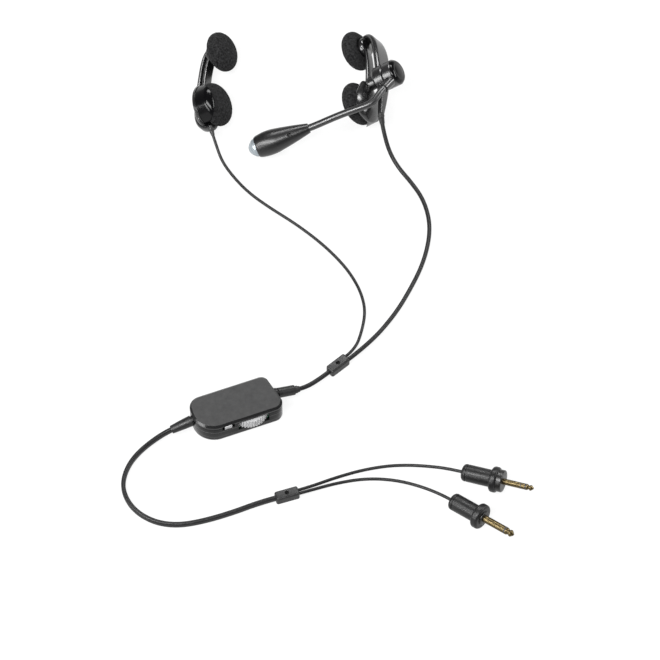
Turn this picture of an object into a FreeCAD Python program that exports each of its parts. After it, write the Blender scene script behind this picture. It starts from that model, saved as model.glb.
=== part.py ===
import FreeCAD, Part
import math
import os

os.makedirs("parts", exist_ok=True)
V = FreeCAD.Vector
UP = V(0, 0, 1)
FLAT = FreeCAD.Placement()

# Sizes in millimetres. X is to the right, Y away from the viewer, Z up.
# The origin is the centre of the control module's underside, on the table.

# Ear units: two foam pads on one curved frame
PAD_SPACING = 60.0
LOWER_PAD_R = 20.2
UPPER_PAD_R = 18.6
PAD_FRONT = 9.2
PAD_BACK = -7.0
PAD_SHOULDER = 7.5
PAD_ROLL = 37.0
PAD_PITCH = -1.1
LEFT_PAD_HEIGHT = 19.05
RIGHT_PAD_HEIGHT = 20.1
LEFT_AT = (-22.8, 315.8)
LEFT_TURN = -4.5
RIGHT_AT = (105.4, 316.0)
RIGHT_TURN = 1.0
CORE_BACK = -4.4
CORE_FRONT = 2.4
LOWER_CORE_R = 16.4
UPPER_CORE_R = 14.2
PLAY = 0.3

# Boom pivot
DRUM_Y = 15.5
DRUM_R = 12.0
DRUM_BACK = -33.7
COLLAR_BACK = -43.0
POST_R = 4.0
POST_RUNNING = 0.05
BOOM_R = 3.2
BOOM_SWING = 105.0

# Microphone pod
POD_LENGTH = 49.0
POD_WALL = 1.5
END_CAP_R = 8.4
CAPSULE_R = 3.0
CAPSULE_H = 2.7

# Control module
MODULE_TURN = 21.0
CASE_HEIGHT = 22.0
CASE_SPLIT = CASE_HEIGHT - 4.5
CASE_WALL = 1.8
CASE_FRONT = -18.8
CASE_REAR = 17.3
WHEEL_R = 18.0
WHEEL_U = 9.0
WHEEL_PROUD = 2.6
WHEEL_HIGH = CASE_SPLIT - 0.5
WHEEL_LOW = WHEEL_HIGH - 0.38 * CASE_HEIGHT
WHEEL_WINDOW = 28.0
WHEEL_TEETH = 44
SHAFT_R = 2.5
SLIDER_AT = (-14.0, -16.8)
SLIDER_TRAVEL = 2.0
SLIDER_TOP = CASE_SPLIT + 1.6
SLIDER_TALL = 3.8
BOARD_LOW = 4.5
BOARD_TOP = 6.1
TRUNK_RELIEF_LENGTH = 24.5
MAIN_RELIEF_LENGTH = 20.0
RELIEF_LATERAL = 2.5
RELIEF_HEIGHT = CASE_HEIGHT / 2
RELIEF_DROOP = 13.0

# Cords
LEFT_EAR_CORD = 2.7
RIGHT_EAR_CORD = 3.8
TRUNK_CORD = 4.0
MAIN_CORD_TALL = 6.0
MAIN_CORD_WIDE = 3.8
PLUG_CORD = 2.8

# Y blocks
BLOCK_LENGTH = 20.6
BLOCK_WIDTH = 9.0
BLOCK_HEIGHT = 8.0
BLOCK_HOLE_R = 1.9
BLOCK_CORD_Z = 4.0
UPPER_BLOCK = (86.9, 48.5, 42.0)
LOWER_BLOCK = (43.6, -81.9, 18.0)

# Plugs
BARREL_R = 7.5
FLANGE_R = 11.1
FLANGE_ROUND = 2.3
PHONE_PIN_R = 3.175
PHONE_PIN_LENGTH = 30.5
PIN_SPIGOT_STEP = 0.4
MIC_PIN_R = 2.615
MIC_PIN_LENGTH = 27.0
MIC_PLUG = (192.5, -60.9, -20.2)
PHONE_PLUG = (183.0, -88.9, -37.5)


# Shared making steps

def outline(start, *steps):
    # A closed face in the XY plane. A step is a corner (x, y), or an arc ((x, y) on it, (x, y) end).
    edges = []
    here = V(start[0], start[1], 0)
    for step in steps:
        if isinstance(step[0], tuple):
            middle = V(step[0][0], step[0][1], 0)
            end = V(step[1][0], step[1][1], 0)
            edges.append(Part.Arc(here, middle, end).toShape())
        else:
            end = V(step[0], step[1], 0)
            edges.append(Part.LineSegment(here, end).toShape())
        here = end
    first = V(start[0], start[1], 0)
    if here.distanceToPoint(first) > 1e-6:
        edges.append(Part.LineSegment(here, first).toShape())
    return Part.Face(Part.Wire(edges))


def spun(start, *steps, angle=360.0):
    # The outline's x runs along the X axis and its y is the radius.
    return outline(start, *steps).revolve(V(0, 0, 0), V(1, 0, 0), angle)


def crown(rim_x, rim_r, top_x):
    # The middle point of an arc from a rim to the axis, which it meets squarely.
    rise = top_x - rim_x
    radius = (rim_r * rim_r + rise * rise) / (2 * rise)
    half = math.asin(rim_r / abs(radius)) / 2
    return (top_x - radius + radius * math.cos(half), abs(radius) * math.sin(half))


def rod(radius, x_from, x_to, y=0.0, z=0.0):
    return Part.makeCylinder(radius, x_to - x_from, V(x_from, y, z), V(1, 0, 0))


def tube(radius, bore, x_from, x_to, y=0.0, z=0.0):
    return rod(radius, x_from, x_to, y, z).cut(rod(bore, x_from - 1, x_to + 1, y, z))


def block(x_from, x_to, y_from, y_to, z_from, z_to):
    return Part.makeBox(x_to - x_from, y_to - y_from, z_to - z_from, V(x_from, y_from, z_from))


def slab(face_wire, z_from, z_to):
    face = Part.Face(face_wire)
    face.translate(V(0, 0, z_from))
    return face.extrude(V(0, 0, z_to - z_from))


def oval_section(at, along, across, thick, wide):
    # A stadium of the given thickness and width, square to the direction along.
    ahead = V(along).normalize()
    side = V(across)
    out = side.cross(ahead).normalize()
    r = thick / 2
    half = wide / 2 - r
    a = at + side * half + out * r
    b = at - side * half + out * r
    c = at - side * half - out * r
    d = at + side * half - out * r
    left = at - side * (half + r)
    right = at + side * (half + r)
    edges = [
        Part.LineSegment(a, b).toShape(),
        Part.Arc(b, left, c).toShape(),
        Part.LineSegment(c, d).toShape(),
        Part.Arc(d, right, a).toShape(),
    ]
    return Part.Wire(edges)


def limb(stations):
    # A curved arm in the XY plane. A station is (x, y, thickness, width in Z).
    # Above the lower pad's centre y is given for pads 60 mm apart and follows their spacing.
    grow = PAD_SPACING / 60.0
    stations = [(x, y * grow if y > 0 else y, thick, wide) for x, y, thick, wide in stations]
    spine = Part.BSplineCurve()
    spine.interpolate([V(x, y, 0) for x, y, thick, wide in stations])
    wires = []
    for x, y, thick, wide in stations:
        at = V(x, y, 0)
        along = V(*spine.tangent(spine.parameter(at))[0])
        wires.append(oval_section(at, along, UP, thick, wide))
    return Part.makeLoft(wires, True, False)


def route_wire(points):
    # Straight runs joined by tangent arcs.
    edges = []
    here = points[0]
    length = 0.0
    tightest = 1e9
    for i in range(1, len(points) - 1):
        before = points[i] - points[i - 1]
        after = points[i + 1] - points[i]
        short = 0.45 * min(before.Length, after.Length)
        half = before.getAngle(after) / 2
        radius = short / math.tan(half)
        tightest = min(tightest, radius)
        into = V(before).normalize()
        away = V(after).normalize()
        start = points[i] - into * short
        end = points[i] + away * short
        toward = (away - into).normalize()
        middle = points[i] + toward * (radius / math.cos(half) - radius)
        edges.append(Part.LineSegment(here, start).toShape())
        edges.append(Part.Arc(start, middle, end).toShape())
        length += here.distanceToPoint(start) + 2 * half * radius
        here = end
    edges.append(Part.LineSegment(here, points[-1]).toShape())
    length += here.distanceToPoint(points[-1])
    return Part.Wire(edges), length, tightest


def rounded(shape, radius, chosen):
    edges = [edge for edge in shape.Edges if chosen(edge)]
    return shape.makeFillet(radius, edges)


def unit_placement(at, height, turn, roll):
    turn_it = FreeCAD.Rotation(UP, turn)
    pitch_it = FreeCAD.Rotation(V(1, 0, 0), PAD_PITCH)
    roll_it = FreeCAD.Rotation(V(0, 1, 0), roll)
    return FreeCAD.Placement(V(at[0], at[1], height), turn_it * pitch_it * roll_it)


def moved(shape, placement):
    copy = shape.copy()
    copy.transformShape(placement.toMatrix(), True)
    return copy


LEFT = unit_placement(LEFT_AT, LEFT_PAD_HEIGHT, LEFT_TURN, -PAD_ROLL)
RIGHT = unit_placement(RIGHT_AT, RIGHT_PAD_HEIGHT, RIGHT_TURN, 180.0 - PAD_ROLL)
MODULE = FreeCAD.Placement(V(0, 0, 0), FreeCAD.Rotation(UP, MODULE_TURN))

pieces = {}


def keep(name, shape, placement=FLAT):
    placed = moved(shape, placement)
    if placed.ShapeType == "Compound" and len(placed.Solids) == 1:
        placed = placed.Solids[0]
    pieces[name] = placed


# Foam pads. X is the pad's axis, with the ear at +X.

def foam_pad(radius, core_r, back_hole_r):
    front = PAD_FRONT - 0.6
    back = PAD_BACK + 0.4
    ring = radius - PAD_SHOULDER
    near = PAD_SHOULDER * math.sqrt(0.5)
    far = PAD_SHOULDER - near
    return spun(
        (PAD_FRONT, 0),
        (crown(front, ring, PAD_FRONT), (front, ring)),
        ((front - far, ring + near), (front - PAD_SHOULDER, radius)),
        (back + PAD_SHOULDER, radius),
        ((back + far, ring + near), (back, ring)),
        (PAD_BACK, back_hole_r),
        (CORE_BACK, back_hole_r),
        (CORE_BACK, core_r),
        (CORE_FRONT, core_r),
        (CORE_FRONT, 0),
    )


LOWER_HOLE_R = 12.6
UPPER_HOLE_R = 8.8


def lower_foam():
    return foam_pad(LOWER_PAD_R, LOWER_CORE_R, LOWER_HOLE_R)


def upper_foam():
    return foam_pad(UPPER_PAD_R, UPPER_CORE_R, UPPER_HOLE_R).translated(V(0, PAD_SPACING, 0))


# Speaker: a slotted front cup, and the driver with its magnet behind it

def driver_cup():
    wall = 1.6
    cup = rod(LOWER_CORE_R, CORE_BACK, CORE_FRONT)
    cup = cup.cut(rod(LOWER_CORE_R - wall, CORE_BACK + 1.2, CORE_FRONT - 1.2))
    cup = cup.cut(rod(10.4, CORE_BACK - 1, CORE_BACK + 2))
    for ring_r, count in ((4.5, 6), (9.0, 12)):
        for i in range(count):
            turn = 2 * math.pi * i / count
            cup = cup.cut(rod(1.1, CORE_FRONT - 2, CORE_FRONT + 1, ring_r * math.cos(turn), ring_r * math.sin(turn)))
    return cup.cut(rod(1.1, CORE_FRONT - 2, CORE_FRONT + 1))


def driver():
    front = CORE_FRONT - 1.2
    return spun(
        (front - 1.0, 0),
        (front - 1.0, 6.0),
        (front, 12.0),
        (front, 14.7),
        (front - 2.2, 14.7),
        (front - 3.2, 9.6),
        (front - 5.6, 8.6),
        (front - 9.6, 8.6),
        (front - 9.6, 0),
    )


# Ear frame: leaf-shaped glossy shell behind the lower pad, and the arm up to the hub

LEAF = [(-22.4, 0.0), (-20.6, 8.4), (-15.6, 13.6), (-7.0, 15.6), (3.5, 13.8), (12.0, 9.2), (18.0, 5.4)]
LEAF_MIDDLE_Y = -4.0
LEAF_FRONT = -7.3
LIP_FRONT = 5.0
LIP_MIDDLE = 112.0
LIP_TURN = 124.0
LIP_SLOPE = 48.0
HUB_R = 8.7
HUB_FRONT = -8.0
HUB_BACK = -12.6


def leaf_wire(x, scale, inset):
    points = [(y, z) for y, z in LEAF]
    points += [(y, -z) for y, z in reversed(LEAF[1:])]
    placed = []
    for y, z in points:
        away = math.hypot(y - LEAF_MIDDLE_Y, z)
        shrink = scale * (away - inset) / away
        placed.append(V(x, LEAF_MIDDLE_Y + (y - LEAF_MIDDLE_Y) * shrink, z * shrink))
    curve = Part.BSplineCurve()
    curve.interpolate(placed, PeriodicFlag=True)
    return Part.Wire([curve.toShape()])


def leaf_body(inset):
    back = -16.0 + inset
    depth = back - LEAF_FRONT
    rows = [(LEAF_FRONT, 0.97), (LEAF_FRONT + 0.30 * depth, 1.0), (LEAF_FRONT + 0.62 * depth, 0.86)]
    rows += [(LEAF_FRONT + 0.86 * depth, 0.66), (back, 0.34)]
    return Part.makeLoft([leaf_wire(x, scale, inset) for x, scale in rows], True, False)


def arm():
    stations = [(-12.0, 8.0, 3.4, 9.0), (-13.1, 18.0, 3.4, 10.4), (-13.6, 30.0, 3.4, 10.4)]
    stations += [(-13.2, 42.0, 3.4, 10.0), (-12.0, 51.5, 3.4, 9.6), (-10.4, 58.5, 3.4, 9.0)]
    return limb(stations)


def ear_frame():
    shell = leaf_body(0.0)
    neck = rod(LOWER_HOLE_R - 0.3, LEAF_FRONT - 0.5, CORE_BACK)
    lip_outer = LOWER_PAD_R + 1.9
    lip_inner = LOWER_PAD_R + 0.3
    lip = spun(
        (LIP_FRONT + 1, lip_inner),
        (LIP_FRONT + 1, lip_outer),
        (LEAF_FRONT - 2.0, lip_outer - 0.4),
        ((LEAF_FRONT - 2.9, lip_inner), (LEAF_FRONT - 3.2, lip_inner - 2.0)),
        (LEAF_FRONT - 3.2, 13.0),
        (LEAF_FRONT, 13.0),
        (LEAF_FRONT, lip_inner - 1.5),
        ((LEAF_FRONT + 0.45, lip_inner - 0.45), (LEAF_FRONT + 1.5, lip_inner)),
        angle=LIP_TURN,
    )
    slope = math.radians(LIP_SLOPE)
    beyond = block(0, 60, -60, 60, -60, 60)
    beyond.rotate(V(0, 0, 0), UP, -LIP_SLOPE)
    beyond = beyond.translated(V(LIP_FRONT - lip_outer * math.tan(slope), 0, 0))
    beyond.rotate(V(0, 0, 0), V(1, 0, 0), LIP_TURN / 2)
    lip = lip.cut(beyond)
    lip.rotate(V(0, 0, 0), V(1, 0, 0), LIP_MIDDLE - LIP_TURN / 2)
    hub = spun(
        (HUB_FRONT, 0),
        (HUB_FRONT, HUB_R),
        (HUB_BACK + 1.4, HUB_R),
        ((HUB_BACK + 0.3, HUB_R - 0.9), (HUB_BACK, HUB_R - 2.4)),
        (HUB_BACK - 0.9, 0),
    ).translated(V(0, PAD_SPACING, 0))
    frame = shell.fuse([neck, lip, arm(), hub]).removeSplitter()
    hollow = leaf_body(1.8).common(block(-30, LEAF_FRONT - 1.7, -40, 13.0, -40, 40))
    frame = frame.cut(hollow)
    frame = frame.cut(rod(10.4, LEAF_FRONT - 2.5, CORE_BACK + 1))
    return frame


def pad_core():
    core = rod(UPPER_CORE_R, CORE_BACK, CORE_FRONT)
    core = core.cut(rod(UPPER_CORE_R - 2.0, CORE_BACK + 1.8, CORE_FRONT - 1.6))
    neck = rod(UPPER_HOLE_R - 0.3, HUB_FRONT, CORE_BACK)
    core = core.fuse(neck)
    core = core.cut(rod(2.6, HUB_FRONT - 1, CORE_FRONT - 3))
    return core.translated(V(0, PAD_SPACING, 0))


# Left outer bow: from the hub round the outside to the foot of the leaf

def left_bow(frame):
    stations = [(-10.6, 67.4, 3.3, 7.0), (-14.9, 64.8, 3.3, 8.0), (-17.8, 57.5, 3.3, 9.0)]
    stations += [(-19.1, 46.0, 3.3, 9.8), (-19.6, 30.0, 3.3, 10.2), (-19.9, 12.0, 3.3, 10.2)]
    stations += [(-19.2, -4.0, 3.3, 9.6), (-16.2, -15.4, 3.4, 8.6), (-10.0, -22.9, 3.6, 7.2)]
    stations += [(-2.2, -25.6, 4.0, 6.2)]
    return limb(stations).cut(frame)


# Right boom housing: the fairing that carries the pivot drum, with a tail for the cord

LUG_R = 9.4
LUG_HALF = 1.2
WASHER_THICK = 0.25


def boom_housing(frame):
    stations = [(-10.6, 67.6, 3.8, 10.0), (-17.0, 65.4, 4.6, 13.6), (-22.6, 57.0, 5.2, 17.0)]
    stations += [(-25.8, 44.0, 5.4, 19.4), (-27.0, 30.0, 5.6, 19.0), (-27.4, 12.0, 5.8, 16.0)]
    stations += [(-27.0, -3.0, 5.4, 11.6), (-25.8, -14.0, 4.8, 8.8), (-24.4, -24.0, 4.4, 6.2)]
    body = limb(stations)
    drum = spun(
        (-22.4, 0),
        (-22.4, DRUM_R - 2.6),
        ((-23.2, DRUM_R - 0.8), (-25.4, DRUM_R)),
        (DRUM_BACK + 0.8, DRUM_R),
        (DRUM_BACK, DRUM_R - 0.8),
        (DRUM_BACK, 0),
    )
    boss = rod(6.2, -24.0, -14.6)
    post = rod(POST_R, COLLAR_BACK + 2.0, DRUM_BACK + 1)
    lug = block(DRUM_BACK - 1.7, DRUM_BACK + 1, -LUG_HALF, LUG_HALF, LUG_R - 1.3, LUG_R + 1.3)
    lug.rotate(V(0, 0, 0), V(1, 0, 0), -90.0)
    pivot = drum.fuse([boss, post, lug]).translated(V(0, DRUM_Y, 0))
    body = body.fuse(pivot).removeSplitter()
    body = body.cut(frame)
    body = body.cut(rod(1.25, COLLAR_BACK, COLLAR_BACK + 9.0, DRUM_Y))
    return body


def friction_washer():
    return tube(LUG_R - 1.8, POST_R + 0.1, DRUM_BACK - WASHER_THICK, DRUM_BACK, DRUM_Y)


def retaining_washer():
    return tube(7.4, 1.3, COLLAR_BACK + 1.2, COLLAR_BACK + 2.0, DRUM_Y)


def pivot_screw():
    head_back = COLLAR_BACK - 0.2
    head = rod(2.5, head_back, COLLAR_BACK + 1.2, DRUM_Y)
    shank = rod(1.25, COLLAR_BACK + 1.2, COLLAR_BACK + 8.5, DRUM_Y)
    screw = head.fuse(shank)
    recess = block(head_back - 0.2, head_back + 0.6, DRUM_Y - 0.35, DRUM_Y + 0.35, -1.6, 1.6)
    cross = block(head_back - 0.2, head_back + 0.6, DRUM_Y - 1.6, DRUM_Y + 1.6, -0.35, 0.35)
    return screw.cut(recess).cut(cross)


# Boom collar: turns on the drum's post, with the socket that the boom starts from

BOOM_ROOT = V(-38.6, 6.8, -2.4)
SOCKET_END = V(-34.2, -3.6, -8.2)
BOOM_BENDS = [V(-24.4, -18.9, -13.0), V(5.0, -23.6, -22.4)]
POD_START = V(33.1, -29.6, -30.4)
POD_FAR = V(78.4, -39.6, -47.0)


def boom_collar():
    front = DRUM_BACK - PLAY
    ring = spun(
        (front, POST_R + POST_RUNNING),
        (front, DRUM_R - 0.6),
        (front - 0.6, DRUM_R),
        (COLLAR_BACK + 0.6, DRUM_R),
        (COLLAR_BACK, DRUM_R - 0.6),
        (COLLAR_BACK, 7.9),
        (COLLAR_BACK + 2.3, 7.9),
        (COLLAR_BACK + 2.3, POST_R + POST_RUNNING),
    )
    ring = ring.translated(V(0, DRUM_Y, 0))
    along = (SOCKET_END - BOOM_ROOT).normalize()
    socket = Part.makeCone(4.8, 4.3, SOCKET_END.distanceToPoint(BOOM_ROOT), BOOM_ROOT, along)
    socket = socket.cut(rod(DRUM_R - 1.5, -60, 0, DRUM_Y))
    socket = socket.cut(rod(DRUM_R + PLAY, front, 0, DRUM_Y))
    socket = socket.cut(block(-60, COLLAR_BACK + 0.4, -40, 40, -40, 40))
    collar = ring.fuse(socket).removeSplitter()
    spare = math.degrees(LUG_HALF / LUG_R) + 1.5
    groove = outline((front + 1, LUG_R - 1.6), (front + 1, LUG_R + 1.6), (front - 2.0, LUG_R + 1.6), (front - 2.0, LUG_R - 1.6))
    groove = groove.revolve(V(0, 0, 0), V(1, 0, 0), BOOM_SWING + 2 * spare)
    groove.rotate(V(0, 0, 0), V(1, 0, 0), -BOOM_SWING - spare)
    collar = collar.cut(groove.translated(V(0, DRUM_Y, 0)))
    boom_hole = Part.makeCylinder(BOOM_R, 30, SOCKET_END - along * 8, along)
    return collar.cut(boom_hole)


def pivot_cap():
    return spun(
        (COLLAR_BACK + 0.8, 5.4),
        (COLLAR_BACK + 0.8, 7.9),
        (COLLAR_BACK, 7.9),
        (COLLAR_BACK, 11.4),
        ((COLLAR_BACK - 1.9, 10.2), (COLLAR_BACK - 2.9, 7.2)),
        (crown(COLLAR_BACK - 2.9, 7.2, COLLAR_BACK - 3.7), (COLLAR_BACK - 3.7, 0)),
        (COLLAR_BACK - 1.4, 0),
        (COLLAR_BACK - 1.4, 5.4),
    ).translated(V(0, DRUM_Y, 0))


def boom_tube():
    along = (SOCKET_END - BOOM_ROOT).normalize()
    start = SOCKET_END - along * 8
    pod_along = (POD_FAR - POD_START).normalize()
    points = [start, SOCKET_END + along * 4.0] + BOOM_BENDS
    points += [POD_START - pod_along * 5.0, POD_START + pod_along * 7.0]
    route, length, tightest = route_wire(points)
    print("boom tube length %.0f tightest radius %.1f" % (length, tightest))
    ring = Part.Wire([Part.Circle(start, along, BOOM_R).toShape()])
    return route.makePipeShell([ring], True, False)


# Microphone pod, made along X from its narrow end

POD_PORT_AT = 18.0
PORT_R = 1.8


def pod_body(inset, x_from, x_to):
    # The teardrop form drawn in by the inset, between two places along it.
    form = spun(
        (0, 0),
        (0, 4.4 - inset),
        ((14.5, 7.7 - inset), (29.0, 10.4 - inset)),
        ((38.0, 11.25 - inset), (POD_LENGTH - 3.0, 10.4 - inset)),
        ((POD_LENGTH - 0.3, 9.7 - inset), (POD_LENGTH + 1.0, 9.0 - inset)),
        (POD_LENGTH + 1.0, 0),
    )
    return form.common(rod(20.0, x_from, x_to))


def pod_placement():
    along = (POD_FAR - POD_START).normalize()
    to_viewer = V(-0.49, -0.56, -0.667)
    return FreeCAD.Placement(POD_START, FreeCAD.Rotation(along, V(0, 0, 0), to_viewer, "XZY"))


POD = pod_placement()


def mic_shell():
    shell = pod_body(0.0, -1.0, POD_LENGTH + 3)
    shell = shell.cut(pod_body(POD_WALL, 9.0, POD_LENGTH - 4))
    shell = shell.cut(rod(END_CAP_R, POD_LENGTH - 5, POD_LENGTH + 5))
    shell = shell.cut(rod(BOOM_R, -5.0, 7.0))
    shell = shell.cut(rod(1.8, 6.5, 10.0))
    port = Part.makeCylinder(PORT_R, 12, V(POD_PORT_AT, 0, 0), UP)
    return shell.cut(port)


def mic_carrier():
    carrier = pod_body(POD_WALL, 12.0, 24.0)
    carrier = carrier.cut(Part.makeCylinder(CAPSULE_R, 12, V(POD_PORT_AT, 0, -CAPSULE_H / 2), UP))
    return carrier


def mic_capsule():
    body = Part.makeCylinder(CAPSULE_R, CAPSULE_H, V(POD_PORT_AT, 0, -CAPSULE_H / 2), UP)
    return body.cut(Part.makeCylinder(0.6, 1.0, V(POD_PORT_AT, 0, CAPSULE_H / 2 - 0.6), UP))


def mic_end_cap():
    inner = END_CAP_R - 1.4
    rim = POD_LENGTH + 0.7
    return spun(
        (POD_LENGTH - 3.6, inner),
        (POD_LENGTH - 3.6, END_CAP_R),
        (rim, END_CAP_R),
        ((rim + 0.9, END_CAP_R - 0.4), (rim + 1.5, inner)),
        (crown(rim + 1.5, inner, rim + 3.2), (rim + 3.2, 0)),
        (rim + 1.7, 0),
        (crown(rim, inner, rim + 1.7), (rim, inner)),
    )


# Cord reliefs of the ear units

LEFT_EXIT = V(-2.2, -25.6, 0)
LEFT_EXIT_WAY = LEFT.Rotation.inverted().multVec(V(0.30, -0.85, -0.42).normalize())
RIGHT_EXIT = V(-24.4, -24.0, 0)
RIGHT_EXIT_WAY = RIGHT.Rotation.inverted().multVec(V(0.16, -0.72, -0.66).normalize())


def small_relief(at, way, length, cord_d):
    r = cord_d / 2
    sleeve = spun(
        (-2.5, r),
        (-2.5, r + 0.5),
        (0.0, r + 0.5),
        (0.0, r + 1.2),
        (1.6, r + 1.2),
        (2.2, r + 0.8),
        (length, r + 0.35),
        (length, r),
    )
    return moved(sleeve, FreeCAD.Placement(at, FreeCAD.Rotation(V(1, 0, 0), way)))


def relief_hole(at, way, cord_d):
    hole = rod(cord_d / 2 + 0.5, -2.5, 3.0)
    return moved(hole, FreeCAD.Placement(at, FreeCAD.Rotation(V(1, 0, 0), way)))


LEFT_RELIEF_LENGTH = 6.5
RIGHT_RELIEF_LENGTH = 8.0


def make_ear_units():
    frame = ear_frame()
    bow = left_bow(frame)
    left_sleeve = small_relief(LEFT_EXIT, LEFT_EXIT_WAY, LEFT_RELIEF_LENGTH, LEFT_EAR_CORD)
    bow = bow.cut(relief_hole(LEFT_EXIT, LEFT_EXIT_WAY, LEFT_EAR_CORD)).cut(left_sleeve)
    housing = boom_housing(frame)
    right_sleeve = small_relief(RIGHT_EXIT, RIGHT_EXIT_WAY, RIGHT_RELIEF_LENGTH, RIGHT_EAR_CORD)
    housing = housing.cut(relief_hole(RIGHT_EXIT, RIGHT_EXIT_WAY, RIGHT_EAR_CORD)).cut(right_sleeve)
    for side, place in (("left", LEFT), ("right", RIGHT)):
        keep(side + "_ear_frame", frame, place)
        keep(side + "_lower_foam", lower_foam(), place)
        keep(side + "_upper_foam", upper_foam(), place)
        keep(side + "_driver_cup", driver_cup(), place)
        keep(side + "_driver", driver(), place)
        keep(side + "_upper_pad_core", pad_core(), place)
    keep("left_outer_bow", bow, LEFT)
    keep("left_cord_relief", left_sleeve, LEFT)
    keep("boom_housing", housing, RIGHT)
    keep("right_cord_relief", right_sleeve, RIGHT)
    keep("boom_friction_washer", friction_washer(), RIGHT)
    keep("boom_retaining_washer", retaining_washer(), RIGHT)
    keep("boom_pivot_screw", pivot_screw(), RIGHT)
    keep("boom_collar", boom_collar(), RIGHT)
    keep("boom_pivot_cap", pivot_cap(), RIGHT)
    keep("boom_tube", boom_tube(), RIGHT)
    pod_place = RIGHT.multiply(POD)
    keep("mic_shell", mic_shell(), pod_place)
    keep("mic_carrier", mic_carrier(), pod_place)
    keep("mic_capsule", mic_capsule(), pod_place)
    keep("mic_end_cap", mic_end_cap(), pod_place)


# Control module, made with its long side along X and turned in place

def case_wire(inset):
    f = CASE_FRONT + inset
    r = CASE_REAR - inset
    k = inset
    start = (-20.0, f)
    face = outline(
        start,
        (29.0, f),
        ((34.9 - 0.75 * k, -16.5 + 0.75 * k), (37.4 - k, -11.0)),
        (33.2 - k, 10.6),
        ((31.1 - 0.8 * k, 15.4 - 0.8 * k), (26.4, r)),
        (-28.4, r),
        ((-36.3 + 0.7 * k, 14.0 - 0.7 * k), (-39.5 + k, 6.5)),
        (-39.7 + k, -1.0),
        ((-33.9 + 0.72 * k, -13.3 + 0.72 * k), start),
    )
    return face.OuterWire


def stepped_case(rows):
    # The case outline drawn in by each row's amount at each row's height.
    wires = [case_wire(inset).translated(V(0, 0, z)) for inset, z in rows]
    return Part.makeLoft(wires, True, True)


def relief_way(sign):
    droop = math.radians(RELIEF_DROOP)
    return V(sign * math.cos(droop), 0, -math.sin(droop))


RELIEF_FOOT = {1: V(34.3, RELIEF_LATERAL, RELIEF_HEIGHT), -1: V(-39.0, RELIEF_LATERAL, RELIEF_HEIGHT)}


def relief_placement(sign):
    return FreeCAD.Placement(RELIEF_FOOT[sign], FreeCAD.Rotation(V(1, 0, 0), relief_way(sign)))


# Each relief is held by a flange inside the wall. The pairs are (place along it, radius).
RELIEF_FLANGE = [(-3.4, 5.0), (-1.6, 5.0), (-1.6, 3.9), (1.2, 3.9), (1.2, 4.8)]
TRUNK_RELIEF = [(3.2, 4.8), (3.2, 3.5), (4.4, 3.5), (4.4, 4.5), (19.6, 4.4), (19.6, 3.4), (22.6, 3.3), (22.6, 2.7)]
MAIN_RELIEF = [(8.0, 4.5), (15.0, 4.0)]


def module_relief(bore_r, shape, length, end_r):
    return spun((-3.4, bore_r), *RELIEF_FLANGE, *shape, (length, end_r), (length, bore_r))


def cut_for_reliefs(case):
    for sign in (1, -1):
        for radius, x_from, x_to in ((5.0, -3.4, -1.6), (3.9, -6.0, 6.0), (4.8, 1.2, 6.0)):
            case = case.cut(moved(rod(radius, x_from, x_to), relief_placement(sign)))
    return case


SCREWS_AT = [(-29.5, 9.5), (-25.5, -9.5), (28.0, 12.0), (31.0, -12.5)]


def module_base():
    rows = [(2.6, 0.0), (1.2, 0.5), (0.4, 1.5), (0.0, 3.2), (0.0, CASE_SPLIT)]
    base = stepped_case(rows)
    base = base.cut(slab(case_wire(CASE_WALL), CASE_WALL, CASE_SPLIT + 1))
    for u, v in SCREWS_AT:
        base = base.fuse(Part.makeCylinder(2.8, CASE_SPLIT - 1.0, V(u, v, 1.0), UP))
    for v in (-13.5, 12.0):
        base = base.fuse(block(-16.0, 22.0, v - 0.8, v + 0.8, 1.0, BOARD_LOW))
    wheel_space = Part.makeCylinder(WHEEL_R + 0.9, 40, V(WHEEL_U, wheel_v(), WHEEL_LOW - 0.8), UP)
    base = base.cut(wheel_space)
    half = WHEEL_WINDOW / 2
    base = base.cut(block(WHEEL_U - half, WHEEL_U + half, CASE_FRONT - 5, CASE_FRONT + 5, WHEEL_LOW - 0.8, CASE_HEIGHT))
    base = base.cut(slider_slot())
    base = cut_for_reliefs(base)
    for u, v in SCREWS_AT:
        base = base.cut(Part.makeCylinder(1.1, CASE_SPLIT + 2, V(u, v, -1), UP))
        base = base.cut(Part.makeCylinder(2.1, 2.6, V(u, v, -1), UP))
    return base.removeSplitter()


def slider_slot():
    slot = block(-5.6, 5.6, -6, 6, SLIDER_TOP - SLIDER_TALL - 0.4, SLIDER_TOP + 0.4)
    return moved(slot, slider_place())


def slider_place():
    return FreeCAD.Placement(V(SLIDER_AT[0], SLIDER_AT[1], 0), FreeCAD.Rotation())


def wheel_v():
    return CASE_FRONT - WHEEL_PROUD + WHEEL_R


def module_cover():
    bevel = 1.9
    cover = stepped_case([(0.5, CASE_SPLIT), (0.0, CASE_SPLIT + 0.5), (0.0, CASE_HEIGHT - bevel), (bevel, CASE_HEIGHT)])
    cover = cover.cut(slab(case_wire(CASE_WALL), CASE_SPLIT - 1, CASE_HEIGHT - CASE_WALL))
    cover = cut_for_reliefs(cover.cut(slider_slot()))
    for u, v in SCREWS_AT:
        cover = cover.fuse(Part.makeCylinder(2.8, CASE_HEIGHT - CASE_SPLIT - 1.0, V(u, v, CASE_SPLIT), UP))
        cover = cover.cut(Part.makeCylinder(0.9, 2.5, V(u, v, CASE_SPLIT - 0.1), UP))
    return cover.removeSplitter()


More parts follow.
